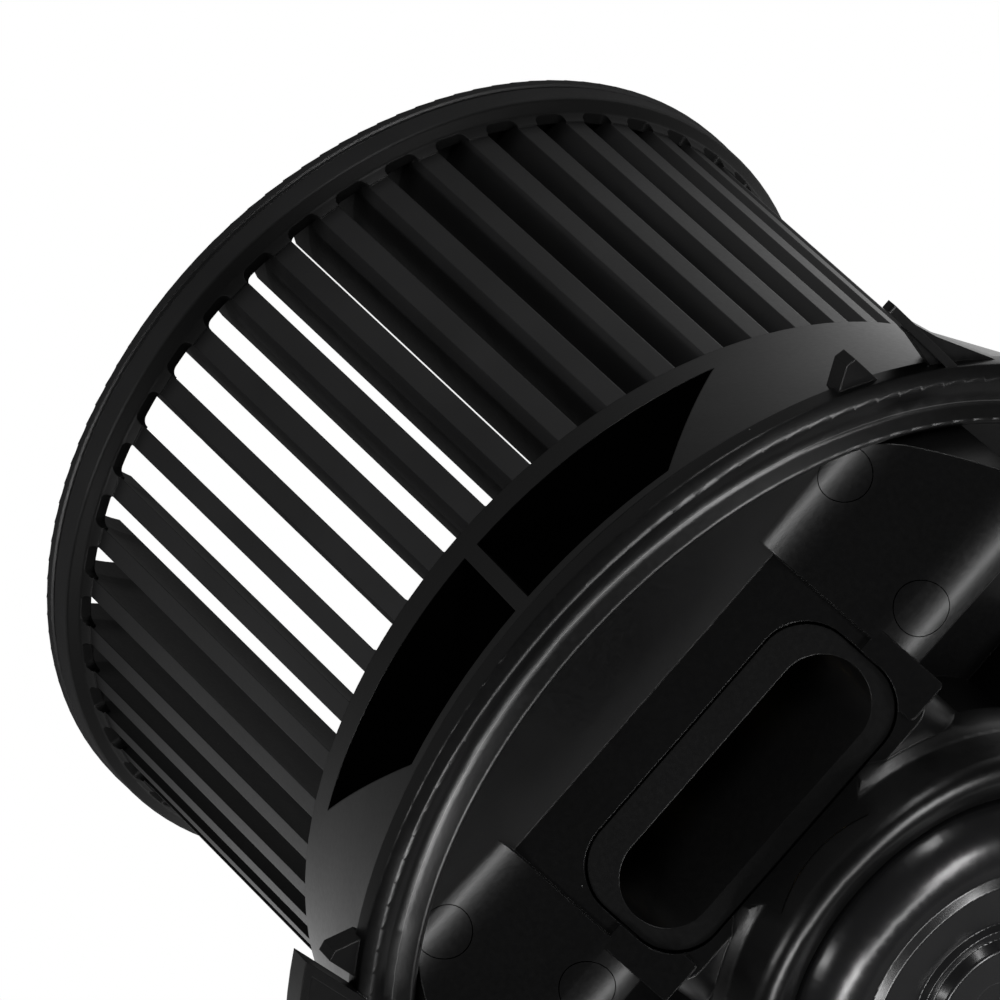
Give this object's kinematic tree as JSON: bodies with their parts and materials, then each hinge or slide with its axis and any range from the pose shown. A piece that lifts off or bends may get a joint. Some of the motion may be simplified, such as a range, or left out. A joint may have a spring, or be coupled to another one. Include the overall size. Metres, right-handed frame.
{
  "type": "cabin blower",
  "caption": "Vehicle cabin blower: a squirrel-cage wheel on a brushed motor, in a moulded mount with an oval socket and bolt lugs.",
  "frame": {"origin": "centre of the lugs' bolt circle, on the face that seats on the heater box", "axes": "+Z along the wheel's axis, towards the motor's closed end; +X in the mount's plane of symmetry, towards the socket"},
  "size_m": [0.1792, 0.178, 0.158],
  "materials": {
    "wheel_plastic": "fine matte moulded",
    "mount_plastic": "satin moulded",
    "socket_plastic": "satin moulded",
    "terminal_metal": "bright",
    "lead_cover": "satin",
    "rubber": "matte",
    "can_finish": "gloss black",
    "plated_steel": "zinc plated",
    "sintered_bronze": "sintered",
    "felt": "oiled felt",
    "spring_steel": "spring steel",
    "ferrite": "ground ferrite",
    "card_plastic": "moulded phenolic",
    "capacitor_case": "dipped",
    "ground_steel": "ground",
    "core_steel": "stacked sheets",
    "copper": "enamelled copper",
    "insulator": "pressed fibre",
    "carbon": "graphite"
  },
  "bodies": {
    "housing": {"motor_mount": "mount_plastic", "socket_insert": "socket_plastic", "terminal_left": "terminal_metal", "terminal_right": "terminal_metal", "lead_wires": "lead_cover", "isolator_ring_front": "rubber", "isolator_ring_rear": "rubber", "motor_can": "can_finish", "can_end_plate": "plated_steel", "end_plate_screws": "plated_steel", "front_bearing": "sintered_bronze", "front_felt_ring": "felt", "front_bearing_retainer": "spring_steel", "rear_bearing": "sintered_bronze", "rear_felt_ring": "felt", "rear_bearing_retainer": "spring_steel", "magnet_left": "ferrite", "magnet_right": "ferrite", "magnet_clip_near": "spring_steel", "magnet_clip_far": "spring_steel", "brush_card": "card_plastic", "brush_holders": "terminal_metal", "brush_spring_left": "spring_steel", "brush_spring_right": "spring_steel", "choke_left": "ferrite", "choke_right": "ferrite", "capacitor": "capacitor_case"},
    "rotor": {"blower_wheel": "wheel_plastic", "wheel_clip": "spring_steel", "motor_shaft": "ground_steel", "armature_core": "core_steel", "armature_winding": "copper", "front_insulator": "insulator", "rear_insulator": "insulator", "commutator_hub": "card_plastic", "commutator_bars": "copper", "front_thrust_washer": "insulator", "rear_thrust_washer": "insulator"},
    "left_brush": {"brush_left": "carbon"},
    "right_brush": {"brush_right": "carbon"}
  },
  "joints": [
    {"name": "rotor_spin", "type": "hinge", "parent": "housing", "child": "rotor", "pos_m": [0, 0, 0], "axis": [0, 0, 1], "continuous": true},
    {"name": "brush_left_slide", "type": "slide", "parent": "housing", "child": "left_brush", "axis": [0, 1, 0], "range_m": [0, 0.003], "stiffness_N_per_m": 400, "springref_m": -0.004, "deforming": ["brush_spring_left"]},
    {"name": "brush_right_slide", "type": "slide", "parent": "housing", "child": "right_brush", "axis": [0, -1, 0], "range_m": [0, 0.003], "stiffness_N_per_m": 400, "springref_m": -0.004, "deforming": ["brush_spring_right"]}
  ]
}
